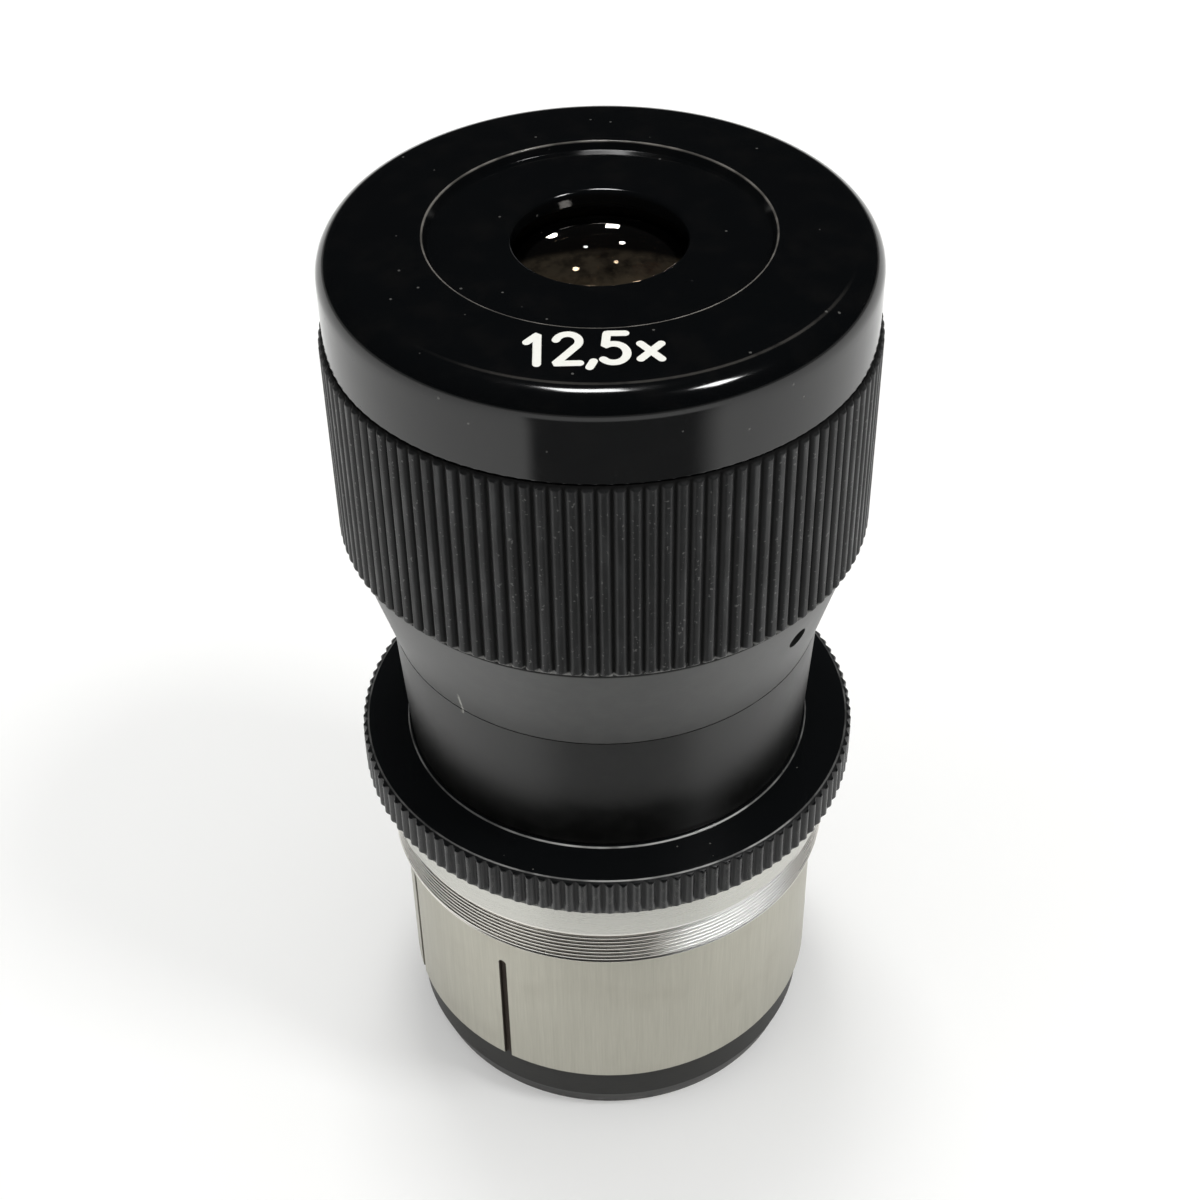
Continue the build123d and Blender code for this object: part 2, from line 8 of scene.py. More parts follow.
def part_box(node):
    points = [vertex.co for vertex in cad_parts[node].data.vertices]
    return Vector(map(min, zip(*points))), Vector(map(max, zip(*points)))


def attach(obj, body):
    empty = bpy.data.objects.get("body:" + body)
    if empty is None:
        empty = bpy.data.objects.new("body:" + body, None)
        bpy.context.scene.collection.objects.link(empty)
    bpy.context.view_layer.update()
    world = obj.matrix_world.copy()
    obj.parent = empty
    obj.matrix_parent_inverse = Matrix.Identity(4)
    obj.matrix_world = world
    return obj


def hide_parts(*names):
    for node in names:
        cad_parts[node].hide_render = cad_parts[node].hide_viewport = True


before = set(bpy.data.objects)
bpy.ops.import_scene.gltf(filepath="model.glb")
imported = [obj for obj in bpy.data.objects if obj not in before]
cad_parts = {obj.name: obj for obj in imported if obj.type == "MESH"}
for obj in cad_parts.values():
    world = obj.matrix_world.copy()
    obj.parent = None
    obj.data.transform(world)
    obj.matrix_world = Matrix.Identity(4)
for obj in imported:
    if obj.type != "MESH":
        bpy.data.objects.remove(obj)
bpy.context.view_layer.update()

MM = 0.001

# Sizes of the turned pieces that are finished here, in millimetres, where the frame's boxes don't give them
CAP_ROUNDING = 2.3
CAP_CROWN_RISE = 0.45
CAP_PLATE = 1.4
CAP_HOLLOW = 13.0
CAP_SOCKET = 20.43
CAP_SOCKET_DEPTH = 4.6
DISH_RADIUS = 14.65
DISH_DEPTH = 0.7
DISH_BEVEL = 0.45
EYE_APERTURE = 7.3
EYE_LIP = 0.5
GRIP_SEAT = 21.63
FLUTES = 120
FLUTE_DEPTH = 0.4
FLUTE_LAND = 0.45
TEETH = 120
TOOTH_DEPTH = 0.45
TOOTH_LAND = 0.2
MILLED_LIP = 1.8
MILLED_LIP_BORE = 18.9
FOOT_LEDGE_RADIUS = 19.65
FOOT_LEDGE_STEP = 0.14
COUPLING_BORE = 20.4
COUPLING_JOINT = 21.3
COUPLING_JOINT_DEPTH = 1.6
JOINT_FIT = 0.05
COLLAR_SPIGOT = 1.5
COLLAR_BAND = 4.8
THREAD_RADIUS = 21.9
THREAD_PITCH = 0.5
THREAD_DEPTH = 0.3
THREAD_CHAMFER = 0.3
THREAD_RELIEF = 0.35
THREAD_SHARPNESS = 2.2
KEY_GROOVE_REACH = 15.7

# Roundings of the edges, in millimetres
HIDDEN_EDGE = 0.1
FINE_EDGE = 0.05
SOFT_EDGE = 0.12
LAND_EDGE = 0.15
BAND_EDGE = 0.08
CAP_FOOT_EDGE = 0.25
FLANGE_EDGE = 0.8

# Steps of the grids: round a plain turned piece, along one flute, tooth or thread pitch, and round an edge
TURNS = 288
FLUTE_SAMPLES = 12
TOOTH_SAMPLES = 11
THREAD_ROWS = 12
EDGE_STEPS = 4
CAP_EDGE_STEPS = 9


def box_mm(node):
    """A node's outer radius and its lowest and highest points, in millimetres."""
    low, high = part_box(node)
    return high.x / MM, low.z / MM, high.z / MM


cap_radius, cap_low, cap_top = box_mm("eye_cap")
grip_radius, grip_low, grip_top = box_mm("grip_ring")
milled_radius, milled_low, milled_top = box_mm("coupling_ring")
band_radius, collar_low, collar_top = box_mm("threaded_collar")
barrel_radius, barrel_low, _ = box_mm("barrel_tube")
_, skirt_low, _ = box_mm("skirt_sleeve")

dish_floor = cap_top - DISH_DEPTH
rounding_start = cap_radius - CAP_ROUNDING
flute_root = grip_radius - FLUTE_DEPTH
tooth_root = milled_radius - TOOTH_DEPTH
band_top = collar_top - COLLAR_SPIGOT
band_foot = band_top - COLLAR_BAND


# Shader maths


class Value:
    """A number or colour that varies over a surface. Arithmetic on it adds Math nodes to its tree."""

    def __init__(self, nodes, socket):
        self.nodes = nodes
        self.socket = socket

    def output(self, name):
        """Another output of the node that this value comes from."""
        return Value(self.nodes, self.socket.node.outputs[name])

    def maths(self, operation, *terms):
        return self.nodes.node("ShaderNodeMath", {"operation": operation}, dict(enumerate(terms)))

    def __add__(self, other):
        return self.maths("ADD", self, other)

    def __radd__(self, other):
        return self.maths("ADD", other, self)

    def __sub__(self, other):
        return self.maths("SUBTRACT", self, other)

    def __rsub__(self, other):
        return self.maths("SUBTRACT", other, self)

    def __mul__(self, other):
        return self.maths("MULTIPLY", self, other)

    def __rmul__(self, other):
        return self.maths("MULTIPLY", other, self)

    def __pow__(self, other):
        return self.maths("POWER", self, other)

    def sine(self):
        return self.maths("SINE", self)

    def size(self):
        return self.maths("ABSOLUTE", self)

    def larger(self, other):
        return self.maths("MAXIMUM", self, other)

    def angle_from(self, other):
        return self.maths("ARCTAN2", self, other)

    def ramp(self, low, high):
        """0 below low, 1 above high and a smooth rise between; with low above high it falls."""
        inputs = {"Value": self, "From Min": low, "From Max": high}
        if low > high:
            inputs = {"Value": self, "From Min": high, "From Max": low, "To Min": 1.0, "To Max": 0.0}
        return self.nodes.node("ShaderNodeMapRange", {"interpolation_type": "SMOOTHSTEP"}, inputs)

    def window(self, start, full, fading, end):
        """A smooth rise from start to full, 1 up to fading, and a smooth fall to 0 at end."""
        return self.ramp(start, full) * self.ramp(end, fading)


class Nodes:
    """A node tree whose nodes all come from one method."""

    def __init__(self, tree):
        self.tree = tree

    def node(self, kind, settings=None, inputs=None, output=0):
        """Adds a node: its settings first, then the values or links of its sockets."""
        made = self.tree.nodes.new(kind)
        for name, value in (settings or {}).items():
            setattr(made, name, value)
        for name, value in (inputs or {}).items():
            if isinstance(value, Value):
                self.tree.links.new(value.socket, made.inputs[name])
            else:
                made.inputs[name].default_value = value
        return Value(self, made.outputs[output])

    def mix(self, share, first, second):
        """From the first colour to the second as share goes from 0 to 1."""
        first, second = (c if isinstance(c, Value) else (*c, 1.0) for c in (first, second))
        settings = {"data_type": "RGBA"}
        return self.node("ShaderNodeMix", settings, {0: share, 6: first, 7: second}, output=2)


class Paint(Nodes):
    """One node-based material and its shader; constants are the shader's sockets, with _ for a space."""

    def __init__(self, name, **constants):
        self.material = bpy.data.materials.new(name)
        self.material.use_nodes = True
        super().__init__(self.material.node_tree)
        self.shader = self.tree.nodes["Principled BSDF"]
        for socket, value in constants.items():
            self.shader.inputs[socket.replace("_", " ")].default_value = value
        self.place = self.node("ShaderNodeTexCoord").output("Object")

    def stretched(self, stretch=(1, 1, 1)):
        """Object coordinates in millimetres, stretched by a factor along each axis."""
        inputs = {"Vector": self.place, "Scale": [factor / MM for factor in stretch]}
        return self.node("ShaderNodeMapping", None, inputs)

    def xyz(self):
        """Object coordinates along the three axes, in millimetres."""
        parts = self.node("ShaderNodeSeparateXYZ", None, {0: self.stretched()})
        return [parts.output(axis) for axis in "XYZ"]

    def axes(self):
        """Distance from the optical axis and height in millimetres, and the azimuth: the angle from the front
        in degrees, positive to the right."""
        x, y, z = self.xyz()
        return (x * x + y * y) ** 0.5, z, y.angle_from(x) * (180 / math.pi) + 90

    def noise(self, scale, stretch=(1, 1, 1), detail=3.0, rough=0.55):
        """Cloudy values about 0.5; scale is features per millimetre before the stretch."""
        inputs = {"Vector": self.stretched(stretch), "Scale": scale, "Detail": detail, "Roughness": rough}
        return self.node("ShaderNodeTexNoise", None, inputs)

    def specks(self, scale, size):
        """Scattered round specks, 1 on a speck and 0 beside it; scale is cells per millimetre."""
        inputs = {"Vector": self.stretched(), "Scale": scale}
        return self.node("ShaderNodeTexVoronoi", {"feature": "F1"}, inputs).ramp(size, size * 0.5)

    def edge_highlight(self, radius, where, width=0.09):
        """A thin painted highlight line round the axis at one radius, broken up by noise."""
        line = (radius - where).size().ramp(width, width * 0.3)
        return line * (0.35 + self.noise(0.35, detail=2.0).ramp(0.35, 0.65) * 0.65)

    def bump(self, height, depth):
        """Makes the surface stand up by the height, from 0 to 1, times a depth in millimetres."""
        inputs = {"Height": height, "Strength": 1.0, "Distance": depth * MM}
        self.set("Normal", self.node("ShaderNodeBump", None, inputs))

    def set(self, socket, value):
        """Links a varying value to one of the shader's sockets."""
        self.tree.links.new(value.socket, self.shader.inputs[socket])


# Finishes

# One old scratch crosses the seam at the left front; it leans, in radians per millimetre
SCRATCH_AZIMUTH = -39.7
SCRATCH_BELOW_SEAM = 0.5
SCRATCH_ABOVE_SEAM = 2.5
SCRATCH_LEAN = -0.0035
# Height of the painted shade under the grip, in millimetres
UNDER_GRIP = 0.6
LAND_WEAR = 0.14
LENS_REFLECTION_RADIUS = 8.2


def cap_lacquer():
    """Glossy black cap: faint cloudiness, sparse dust, hairline scratches and thin painted highlight lines on
    the dish's edge and, at the front, where the rim's rounding starts."""
    paint = Paint("cap_lacquer", IOR=1.56, Specular_IOR_Level=0.5)
    radius, height, azimuth = paint.axes()
    cloud = paint.noise(0.35)
    front = azimuth.window(-45, -5, 40, 75)
    # Painted highlights: a thin pale line on the dish's edge, stronger at the front, and a faint one at the
    # front where the rim's rounding starts
    dish_highlight = paint.edge_highlight(radius, DISH_RADIUS + 0.02, 0.12) * (0.6 + front * 0.4)
    rim_highlight = paint.edge_highlight(radius, rounding_start + 0.15, 0.2) * front * 0.14
    lines = (dish_highlight + rim_highlight) * height.ramp(dish_floor, dish_floor + 0.15)
    hairlines = paint.noise(1.2, stretch=(0.15, 5.0, 1.0), detail=2.0).ramp(0.66, 0.72)
    dust = paint.specks(0.45, 0.07)
    base = paint.mix(dust * 0.5, (0.0022, 0.0026, 0.0030), (0.16, 0.16, 0.15))
    # The colour of the painted highlight lines
    base = paint.mix(lines, base, (0.33, 0.31, 0.28))
    paint.set("Base Color", paint.mix(cloud.ramp(0.45, 0.75) * 0.3, base, (0.007, 0.0065, 0.006)))
    paint.set("Roughness", 0.07 + cloud * 0.06 + hairlines * 0.06 + dust * 0.3)
    paint.bump(paint.noise(0.5, detail=1.0), 0.0012)
    return paint.material


def grip_black():
    """Matt black anodised grip: worn, paler lands, painted shade in the flutes, small chips and painted
    highlights on the lower ends.
    """
    paint = Paint("grip_anodised", IOR=1.45, Specular_IOR_Level=0.5)
    radius, height, _ = paint.axes()
    land_foot = grip_radius - LAND_WEAR
    land = radius.ramp(land_foot, grip_radius - 0.01)
    # Painted shade: the flutes are darkened nearly to black towards their bottoms
    flute_shade = radius.ramp(land_foot, land_foot - 0.18)
    grain = paint.noise(7.0, detail=2.0)
    worn = land * paint.noise(0.5, stretch=(1, 1, 0.35)).ramp(0.42, 0.68)
    chips = land * paint.noise(3.0, detail=1.0).ramp(0.66, 0.72)
    # Painted highlights on the grip's lower ends, broken up by noise
    low_end_highlight = height.ramp(grip_low + 0.55, grip_low + 0.3) * paint.noise(1.6, detail=2.0).ramp(0.38, 0.55)
    base = paint.mix(worn * 0.6, (0.008, 0.0085, 0.009), (0.034, 0.035, 0.036))
    base = paint.mix(flute_shade, base, (0.0015, 0.0015, 0.0015))
    base = paint.mix(chips * 0.55, base, (0.16, 0.16, 0.155))
    paint.set("Base Color", paint.mix(low_end_highlight * 0.7, base, (0.26, 0.26, 0.25)))
    paint.set("Roughness", 0.40 - worn * 0.08 + grain * 0.14 + flute_shade * 0.4)
    paint.bump(grain, 0.012)
    return paint.material


def sleeve_satin(name, ior, darkest, palest):
    """Satin black anodising on the skirt and the neck: fine turning lines, soft mottling, the old scratch
    across the seam, and painted shade just under the grip."""
    paint = Paint(name, IOR=ior, Specular_IOR_Level=0.5)
    radius, height, azimuth = paint.axes()
    scratch_low, scratch_high = skirt_low - SCRATCH_BELOW_SEAM, skirt_low + SCRATCH_ABOVE_SEAM
    shade_low = grip_low - UNDER_GRIP
    grain = paint.noise(5.0)
    lines = paint.noise(1.0, stretch=(0.4, 0.4, 9.0), detail=2.0)
    mottle = paint.noise(0.6)
    lean = (height - scratch_low) * SCRATCH_LEAN
    beside = ((azimuth - SCRATCH_AZIMUTH) * (math.pi / 180) + lean) * radius
    along = height.window(scratch_low - 0.1, scratch_low + 0.2, scratch_high - 0.5, scratch_high + 0.1)
    scratch = beside.size().ramp(0.17, 0.06) * along * paint.noise(3.0, detail=1.0).ramp(0.3, 0.5)
    # Painted shade: just under the grip the skirt is darkened nearly to black
    shade = height.ramp(shade_low - 0.1, shade_low + 0.1)
    base = paint.mix(mottle.ramp(0.35, 0.7), darkest, palest)
    base = paint.mix(shade, base, (0.001, 0.001, 0.001))
    paint.set("Base Color", paint.mix(scratch * 0.9, base, (0.42, 0.42, 0.38)))
    paint.set("Roughness", 0.33 + mottle * 0.08 + scratch * 0.2 + shade * 0.6)
    paint.bump(lines * 0.6 + grain * 0.4 - scratch * 2.0, 0.006)
    return paint.material


def coupling_black():
    """Glossy black flange with sparse dust and thin painted highlight lines on its edges, brightest at the
    front;
    its milled edge is matt in the gaps and rubbed pale on the tooth crests, with painted highlights at their
    feet."""
    paint = Paint("coupling_lacquer", IOR=1.5, Specular_IOR_Level=0.5)
    radius, height, azimuth = paint.axes()
    teeth = radius.ramp(tooth_root - 0.1, tooth_root + 0.05)
    crest = radius.ramp(milled_radius - 0.18, milled_radius - 0.05)
    gap = teeth * radius.ramp(milled_radius - 0.15, milled_radius - 0.35)
    rub = crest * paint.noise(0.8).ramp(0.45, 0.65)
    # Painted highlights at the teeth's feet, broken up by noise
    foot = teeth * height.ramp(milled_low + 0.55, milled_low + 0.15) * paint.noise(1.4).ramp(0.35, 0.6)
    dust = paint.specks(0.6, 0.07) * (1 - teeth)
    # Painted highlights: thin pale lines on the ledge round the neck's foot and on the rim's rounding,
    # brightest at the front
    on_ledge = height.ramp(milled_top - 0.3, milled_top - 0.2)
    on_rim = height.ramp(milled_top - 0.55, milled_top - 0.4)
    lines = paint.edge_highlight(radius, FOOT_LEDGE_RADIUS - 0.07) * on_ledge
    lines = lines + paint.edge_highlight(radius, tooth_root - 0.09, 0.12) * on_rim * 0.8
    lines = lines * (0.3 + azimuth.window(-40, -8, 38, 60) * 0.7)
    base = paint.mix(rub * 0.35, (0.0055, 0.0062, 0.0068), (0.07, 0.07, 0.066))
    # The colour of the painted highlight lines
    base = paint.mix(lines, base, (0.62, 0.62, 0.60))
    base = paint.mix(foot * 0.6, base, (0.22, 0.22, 0.20))
    paint.set("Base Color", paint.mix(dust * 0.6, base, (0.20, 0.20, 0.18)))
    paint.set("Roughness", 0.10 + paint.noise(1.2) * 0.06 + teeth * 0.12 + gap * 0.3)
    paint.bump(paint.noise(0.5, detail=1.0), 0.0012)
    return paint.material


def collar_bright():
    """Bright turned collar: lathe lines round it, brown grime in the roots of the thread, and a painted
    highlight on a stretch of the thread at the right front, where the grime is thinned."""
    paint = Paint("collar_turned", Metallic=1.0)
    radius, height, azimuth = paint.axes()
    thread = height.ramp(band_foot + 0.15, band_foot - 0.05)
    root = thread * radius.ramp(THREAD_RADIUS - 0.06, THREAD_RADIUS - 0.26)
    # Painted highlight: the thread at the right front is painted nearly white, and its root grime is thinned
    # there
    right_highlight = azimuth.window(8, 22, 46, 62)
    lines = paint.noise(1.0, stretch=(0.25, 0.25, 12.0), detail=2.0)
    blotch = paint.noise(0.7)
    metal_and_highlight = paint.mix(lines, (0.50, 0.50, 0.465), (0.66, 0.655, 0.61))
    metal_and_highlight = paint.mix(thread * 0.7, metal_and_highlight, (0.90, 0.87, 0.82))
    metal_and_highlight = paint.mix(right_highlight * thread, metal_and_highlight, (0.97, 0.97, 0.95))
    grime = paint.mix(blotch, (0.16, 0.125, 0.095), (0.32, 0.275, 0.23))
    grimy = root * (0.5 + blotch * 0.5) * (1 - right_highlight * 0.8)
    paint.set("Base Color", paint.mix(grimy, metal_and_highlight, grime))
    paint.set("Roughness", 0.22 + lines * 0.12 + root * 0.15 + right_highlight * thread * 0.12)
    paint.bump(lines, 0.004)
    return paint.material


def barrel_brushed():
    """Brushed steel barrel: fine lengthwise lines, a warm tone and dark brown painted shade in the key
    grooves.
    """
    paint = Paint("barrel_brushed", Metallic=1.0)
    radius, height, _ = paint.axes()
    groove_top = barrel_low + KEY_GROOVE_REACH
    fine = paint.noise(6.0, stretch=(1, 1, 0.035))
    broad = paint.noise(1.3, stretch=(1, 1, 0.05), detail=2.0)
    # Painted shade: the key grooves are darkened to dark brown
    groove_shade = radius.ramp(barrel_radius - 0.05, barrel_radius - 0.2) * height.ramp(groove_top + 1, groove_top)
    smudge = paint.noise(0.18, detail=2.0).ramp(0.5, 0.8)
    steel = paint.mix(fine * 0.7 + broad * 0.3, (0.40, 0.39, 0.33), (0.62, 0.605, 0.53))
    steel = paint.mix(smudge * 0.25, steel, (0.38, 0.355, 0.30))
    paint.set("Base Color", paint.mix(groove_shade, steel, (0.055, 0.040, 0.030)))
    paint.set("Metallic", 1 - groove_shade * 0.8)
    paint.set("Roughness", 0.36 + fine * 0.14 + groove_shade * 0.3)
    paint.bump(fine, 0.010)
    return paint.material


def end_ring_black():
    """Satin black end ring: turning lines and a rubbed lower edge."""
    paint = Paint("end_ring_satin", IOR=1.45, Specular_IOR_Level=0.4)
    _, height, _ = paint.axes()
    lines = paint.noise(1.0, stretch=(0.5, 0.5, 10.0), detail=2.0)
    patches = paint.noise(0.7)
    rubbed = height.ramp(1.4, 0.1) * patches.ramp(0.4, 0.7)
    base = paint.mix(patches, (0.012, 0.0118, 0.010), (0.020, 0.0195, 0.017))
    paint.set("Base Color", paint.mix(rubbed * 0.6, base, (0.11, 0.105, 0.10)))
    paint.set("Roughness", 0.40 + lines * 0.12)
    paint.bump(lines, 0.008)
    return paint.material


def inner_black():
    """Matt black inner metal, with fine turning ridges that stop stray light."""
    paint = Paint("inner_matt", IOR=1.5, Specular_IOR_Level=0.3)
    _, height, _ = paint.axes()
    ridges = (height * 12.0).sine() * 0.5 + 0.5
    grain = paint.noise(4.0)
    paint.set("Base Color", paint.mix(grain, (0.008, 0.008, 0.008), (0.018, 0.018, 0.018)))
    paint.set("Roughness", 0.55 + grain * 0.15)
    paint.bump(ridges * 0.7 + grain * 0.3, 0.02)
    return paint.material


def washer_brass():
    """Turned brass with a dull, uneven tarnish."""
    paint = Paint("turned_brass", Metallic=1.0)
    tarnish = paint.noise(0.9)
    paint.set("Base Color", paint.mix(tarnish, (0.66, 0.48, 0.20), (0.38, 0.26, 0.10)))
    paint.set("Roughness", 0.26 + tarnish * 0.2)
    paint.bump(paint.noise(6.0), 0.004)
    return paint.material


def screw_steel():
    """Blackened steel of the small screws."""
    paint = Paint("blackened_steel", Metallic=1.0)
    wear = paint.noise(2.5)
    paint.set("Base Color", paint.mix(wear.ramp(0.4, 0.7), (0.035, 0.033, 0.032), (0.11, 0.105, 0.10)))
    paint.set("Roughness", 0.38 + wear * 0.15)
    paint.bump(wear, 0.004)
    return paint.material


def coated_glass(name, body, coating, coat_share):
    """Clear optical glass under a thin coloured coating, with a trace of dust."""
    coat = {"Coat_Weight": coat_share, "Coat_Tint": (*coating, 1.0), "Coat_Roughness": 0.02, "Coat_IOR": 1.7}
    paint = Paint(name, IOR=1.52, Transmission_Weight=1.0, **coat)
    dust = paint.specks(1.1, 0.05)
    paint.set("Base Color", paint.mix(dust * 0.5, body, (0.5, 0.5, 0.48)))
    paint.set("Roughness", 0.005 + dust * 0.2)
    return paint


def eye_lens_glass():
    """The eye lens's glass, with a faint brownish glow in its front half: a painted reflection of the room.
    """
    paint = coated_glass("coated_eye_lens", (0.42, 0.38, 0.33), (0.86, 0.74, 0.60), 0.5)
    _, y, _ = paint.xyz()
    radius, _, _ = paint.axes()
    painted_reflection = y.ramp(-0.6, -1.8) * radius.ramp(LENS_REFLECTION_RADIUS, LENS_REFLECTION_RADIUS - 1)
    painted_reflection = painted_reflection * paint.noise(0.8).ramp(0.2, 0.7)
    # The glow is emission: a painted reflection, not a lamp
    paint.shader.inputs["Emission Strength"].default_value = 1.0
    paint.set("Emission Color", paint.mix(painted_reflection, (0, 0, 0), (0.022, 0.019, 0.014)))
    return paint.material


def figure_paint():
    """Off-white paint in the engraved figures, a little uneven."""
    paint = Paint("figure_paint", IOR=1.45, Specular_IOR_Level=0.3)
    grain = paint.noise(5.0)
    paint.set("Base Color", paint.mix(grain, (0.80, 0.80, 0.74), (0.90, 0.90, 0.84)))
    paint.set("Roughness", 0.5 + grain * 0.2)
    paint.bump(grain, 0.01)
    return paint.material


FINISHES = {
    "cap": cap_lacquer(),
    "grip": grip_black(),
    "skirt": sleeve_satin("skirt_satin", 1.68, (0.022, 0.023, 0.022), (0.034, 0.035, 0.033)),
    # The neck's copy of the satin has far darker colours than the skirt's: painted shade
    "neck": sleeve_satin("neck_satin_shaded", 1.52, (0.0030, 0.0032, 0.0030), (0.006, 0.0062, 0.0058)),
    "coupling": coupling_black(),
    "collar": collar_bright(),
    "barrel": barrel_brushed(),
    "end_ring": end_ring_black(),
    "inner": inner_black(),
    "brass": washer_brass(),
    "screw": screw_steel(),
    "eye_lens": eye_lens_glass(),
    "lens": coated_glass("coated_inner_lens", (0.93, 0.90, 0.86), (0.74, 0.64, 0.72), 0.4).material,
    "figures": figure_paint(),
}

NODE_FINISHES = {
    "skirt": ("skirt_sleeve",),
    "neck": ("neck_sleeve",),
    "barrel": ("barrel_tube",),
    "end_ring": ("end_ring",),
    "inner": (
        "lens_cell",
        "field_stop_tube",
        "field_stop",
        "field_stop_ring",
        "carriage_retaining_ring",
        "upper_spacer",
        "lower_spacer",
        "lens_retaining_ring",
    ),
    "brass": ("thrust_washer", "carriage_key"),
    "screw": ("guide_screw", "key_screws"),
    "eye_lens": ("eye_lens",),
    "lens": ("doublet_crown", "doublet_flint", "field_lens"),
}


def finish_with(piece, finish):
    """Gives a piece or a node one finish all over."""
    piece.data.materials.clear()
    piece.data.materials.append(FINISHES[finish])


# Surfaces


def add_surface(name, points, faces, body, finish, replaced=()):
    """A finished mesh at the origin, from millimetres, that rides on a body and stands for replaced nodes."""
    mesh = bpy.data.meshes.new(name)
    mesh.from_pydata(points * MM, [], faces)
    mesh.shade_smooth()
    mesh.validate()
    piece = bpy.data.objects.new(name, mesh)
    bpy.context.scene.collection.objects.link(piece)
    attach(piece, body)
    if replaced:
        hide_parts(*replaced)
    finish_with(piece, finish)


def grid_faces(columns, rows, closed=True):
    """Quads of a grid: column i runs round the axis or along a stroke, row j round the closed section.
    A closed grid joins its last column to its first."""
    steps = columns if closed else columns - 1
    i, j = np.meshgrid(np.arange(steps), np.arange(rows), indexing="ij")
    i_next, j_next = (i + 1) % columns, (j + 1) % rows
    corners = (i * rows + j, i_next * rows + j, i_next * rows + j_next, i * rows + j_next)
    return np.stack(corners, axis=-1).reshape(-1, 4)


def rounded(corners, steps, support=0.35):
    """A closed section whose corners are arcs: each corner is (radius, height, rounding).
    An arc turns evenly from one side's direction to the other's, about the centre that lies one rounding
    away from both sides; a support point on each side keeps the flat stretch beside it flat."""
    points = []
    for number, (radius, height, rounding) in enumerate(corners):
        here = np.array((radius, height))
        before = np.array(corners[number - 1][:2]) - here
        after = np.array(corners[(number + 1) % len(corners)][:2]) - here
        before_length, after_length = np.linalg.norm(before), np.linalg.norm(after)
        before, after = before / before_length, after / after_length
        half = math.acos(np.clip(before @ after, -1, 1)) / 2
        reach = rounding / math.tan(half)
        bisector = before + after
        centre = here + bisector / np.linalg.norm(bisector) * rounding / math.sin(half)
        first, last = here + before * reach - centre, here + after * reach - centre
        start = math.atan2(first[1], first[0])
        sweep = (math.atan2(last[1], last[0]) - start + math.pi) % (2 * math.pi) - math.pi
        angles = start + sweep * np.linspace(0, 1, steps)
        margin = reach + support * rounding
        points.append(here + before * min(margin, before_length * 0.49))
        points.extend(centre + rounding * np.column_stack((np.cos(angles), np.sin(angles))))
        points.append(here + after * min(margin, after_length * 0.49))
    return np.array(points)


def even_turns(columns):
    """Angles at even steps round the axis, in radians."""
    return np.arange(columns) * 2 * math.pi / columns


def around(radius, height):
    """Closed surface round the axis: a point of radius r and height z at the turn a lies at
    (r cos a, r sin a, z). radius has one row for each turn, and height is the same at all turns."""
    columns, rows = radius.shape
    turns = even_turns(columns)
    x = np.cos(turns)[:, None] * radius
    y = np.sin(turns)[:, None] * radius
    z = np.broadcast_to(height, x.shape)
    return np.stack((x, y, z), axis=-1).reshape(-1, 3), grid_faces(columns, rows).tolist()


def turned(section):
    """Surface of revolution: the section's radius is the same at all turns."""
    own, height = section.T
    return around(np.tile(own, (TURNS, 1)), height)


def softer_of(first, second, softness):
    """The smaller of two values, with a rounded change from one to the other:
    the mean of both less half the root of their squared difference plus the squared softness, and then a
    quarter of the softness more."""
    return (first + second - np.sqrt((first - second) ** 2 + softness**2)) / 2 + softness / 4


def fluted(section, outer, depth, land, count, samples, softness=0.05):
    """Surface of revolution whose radius is the softer smaller one of the section's and the flutes'.
    The flutes' radius is flat over each land and falls straight from it, by the depth, to the middle of the
    gap. A section point deeper than the flutes keeps its own radius, so the bore stays round."""
    own, height = section.T
    pitch = 2 * math.pi * outer / count
    share = np.arange(count * samples) / samples
    beside_gap = pitch / 2 - np.abs(share - np.round(share)) * pitch
    slope = depth / ((pitch - land) / 2)
    reach = outer - depth + softer_of(depth, beside_gap * slope, softness)
    touched = own > outer - depth * 1.05
    radius = np.where(touched[None, :], softer_of(own[None, :], reach[:, None], softness), own[None, :])
    return around(radius, height)


def threaded(section, thread_low, thread_high):
    """Surface of revolution with a right-hand helical thread cut into its outside between two heights.
    The cut is the depth times a wave of the phase height / pitch - turn / whole turn, which the sharpness
    narrows towards its root; it fades out over a third of a pitch at both ends."""
    own, height = section.T
    phase = height[None, :] / THREAD_PITCH - even_turns(TURNS)[:, None] / (2 * math.pi)
    wave = (0.5 + 0.5 * np.cos(2 * math.pi * phase)) ** THREAD_SHARPNESS
    fade = THREAD_PITCH / 3
    inside = np.clip((height - thread_low) / fade, 0, 1) * np.clip((thread_high - height) / fade, 0, 1)
    outside = own > THREAD_RADIUS - 0.01
    return around(own[None, :] - THREAD_DEPTH * wave * (inside * outside)[None, :], height)


# Turned pieces


def crown_height(distance):
    """Height of the crown, a shallow cone that falls from the dish's edge to the rim's rounding."""
    fall = CAP_CROWN_RISE / (rounding_start - DISH_RADIUS)
    return cap_top - (distance - DISH_RADIUS) * fall


